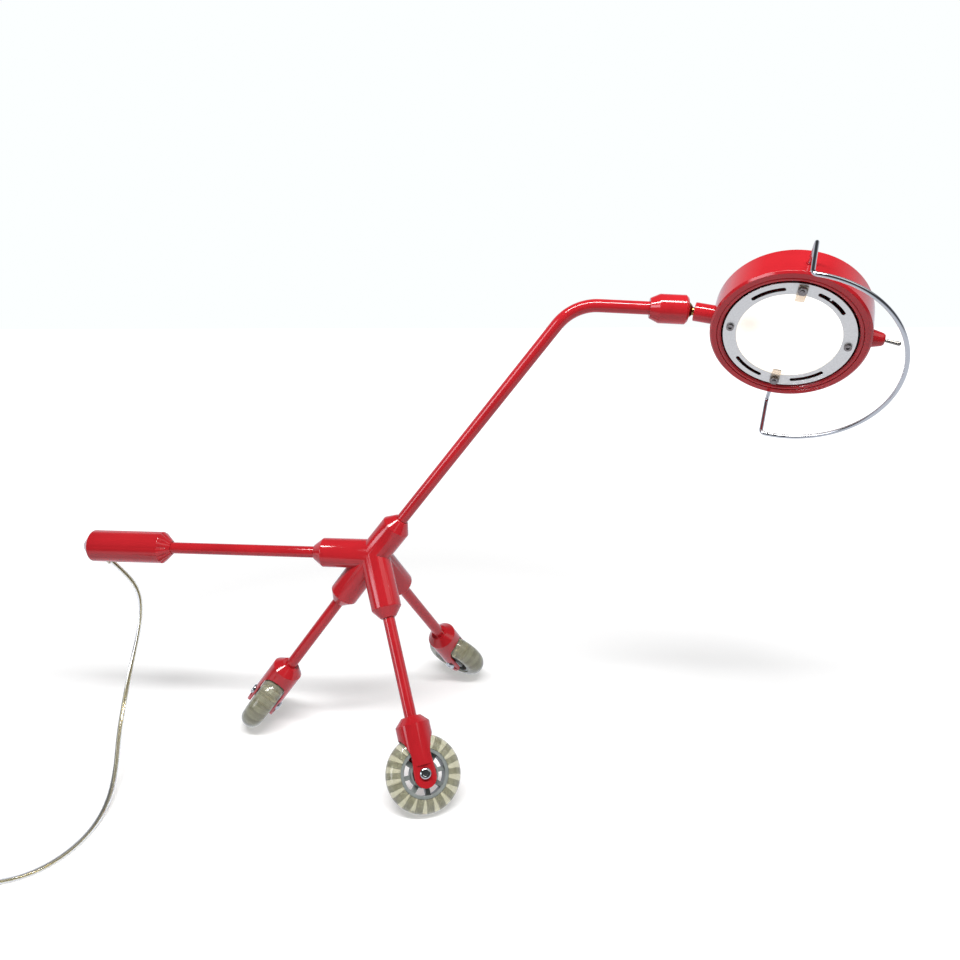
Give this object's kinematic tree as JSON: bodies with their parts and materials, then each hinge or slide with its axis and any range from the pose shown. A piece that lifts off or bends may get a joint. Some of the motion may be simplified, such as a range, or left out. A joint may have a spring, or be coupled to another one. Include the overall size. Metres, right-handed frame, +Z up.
{
  "type": "task lamp",
  "caption": "Rolling task lamp: tube frame with counterweight tail, skate wheels on forked legs, bent arm, ball-jointed drum head, wire handle and toggle switch.",
  "frame": {"origin": "on the floor, straight under the hub's centre, where the wheels' resting plane meets the hub's upright line", "axes": "+Z up, +X towards the head along the arm, -X along the tail, +Y to the left"},
  "size_m": [0.7459, 0.3368, 0.4264],
  "materials": {
    "red_paint": "gloss",
    "smoke_urethane": "translucent",
    "grey_nylon": "satin",
    "bearing_steel": "ground",
    "chrome_steel": "polished",
    "zinc_steel": "satin",
    "turned_brass": "satin",
    "pressed_aluminium": "satin",
    "spun_aluminium": "polished",
    "sand_glass": "frosted",
    "clear_glass": "polished",
    "white_ceramic": "matt",
    "mica_clip": "satin",
    "clear_flex": "clear",
    "white_sleeve": "satin",
    "nylon_white": "satin",
    "cap_clear": "clear",
    "black_plastic": "satin",
    "plug_clear": "gloss",
    "plug_nickel": "polished"
  },
  "bodies": {
    "frame": {"hub": "red_paint", "arm_set_screw": "zinc_steel", "leg_tube_rear": "red_paint", "leg_tube_right": "red_paint", "leg_tube_left": "red_paint", "fork_rear": "red_paint", "fork_right": "red_paint", "fork_left": "red_paint", "axle_sleeves": "chrome_steel", "axle_screws": "chrome_steel", "axle_spacers": "nylon_white", "tail_tube": "red_paint", "weight_shell": "red_paint", "weight_slug": "zinc_steel", "tail_cap": "cap_clear", "cord_bush": "cap_clear", "cord_anchor": "white_sleeve", "cord_entry": "clear_flex", "tail_flex": "white_sleeve", "cord_lead": "clear_flex", "cord_coil": "clear_flex", "cord_end": "clear_flex", "cord_tie": "black_plastic", "plug_body": "plug_clear", "plug_pins": "plug_nickel"},
    "wheel_rear": {"wheel_core_rear": "grey_nylon", "tyre_rear": "smoke_urethane", "wheel_bearings_rear": "bearing_steel"},
    "wheel_right": {"wheel_core_right": "grey_nylon", "tyre_right": "smoke_urethane", "wheel_bearings_right": "bearing_steel"},
    "wheel_left": {"wheel_core_left": "grey_nylon", "tyre_left": "smoke_urethane", "wheel_bearings_left": "bearing_steel"},
    "arm": {"arm_tube": "red_paint", "arm_flex": "white_sleeve", "arm_ferrule": "zinc_steel"},
    "collar": {"collar": "red_paint", "ball_seat": "nylon_white"},
    "stud": {"ball_stud": "turned_brass"},
    "head": {"neck": "red_paint", "neck_nut": "zinc_steel", "drum_shell": "red_paint", "vent_ring": "pressed_aluminium", "glass_disc": "sand_glass", "reflector": "spun_aluminium", "drum_pillars": "zinc_steel", "ring_screws": "zinc_steel", "ring_nuts": "zinc_steel", "glass_clips": "mica_clip", "lamp_holder": "white_ceramic", "bulb": "clear_glass", "switch_boss": "red_paint", "toggle_switch": "black_plastic", "hoop_bushes": "red_paint"},
    "handle": {"wire_hoop": "chrome_steel"},
    "lever": {"toggle_lever": "chrome_steel"}
  },
  "joints": [
    {"name": "wheel_spin_rear", "type": "hinge", "parent": "frame", "child": "wheel_rear", "pos_m": [-0.11055, 0, 0.02603], "axis": [-0.7986, 0, 0.6018], "continuous": true},
    {"name": "wheel_spin_right", "type": "hinge", "parent": "frame", "child": "wheel_right", "pos_m": [0.05525, -0.0957, 0.0261], "axis": [0.2908, -0.7474, 0.5973], "continuous": true},
    {"name": "wheel_spin_left", "type": "hinge", "parent": "frame", "child": "wheel_left", "pos_m": [0.05528, 0.09574, 0.02603], "axis": [0.3993, 0.6916, 0.6018], "continuous": true},
    {"name": "arm_swivel", "type": "hinge", "parent": "frame", "child": "arm", "pos_m": [0, 0, 0.17274], "axis": [0.6211, 0, 0.7837], "range_deg": [-90, 90]},
    {"name": "collar_swivel", "type": "hinge", "parent": "arm", "child": "collar", "pos_m": [0.24904, 0, 0.37803], "axis": [0.9986, 0, -0.0523], "range_deg": [-170, 170]},
    {"name": "ball_tilt", "type": "hinge", "parent": "collar", "child": "stud", "pos_m": [0.24904, 0, 0.37803], "axis": [-0.0466, 0.4549, -0.8893], "range_deg": [-45.66, 18.34]},
    {"name": "head_spin", "type": "hinge", "parent": "stud", "child": "head", "pos_m": [0.24904, 0, 0.37803], "axis": [0.9647, -0.2103, -0.1582], "range_deg": [-160, 160]},
    {"name": "handle_swing", "type": "hinge", "parent": "head", "child": "handle", "pos_m": [0.32285, -0.01609, 0.36594], "axis": [0.0159, -0.5534, 0.8328], "range_deg": [-135, 180]},
    {"name": "toggle_throw", "type": "hinge", "parent": "head", "child": "lever", "pos_m": [0.3807, -0.03043, 0.35907], "axis": [-0.0346, -0.5416, 0.8399], "range_deg": [0, 20]}
  ]
}
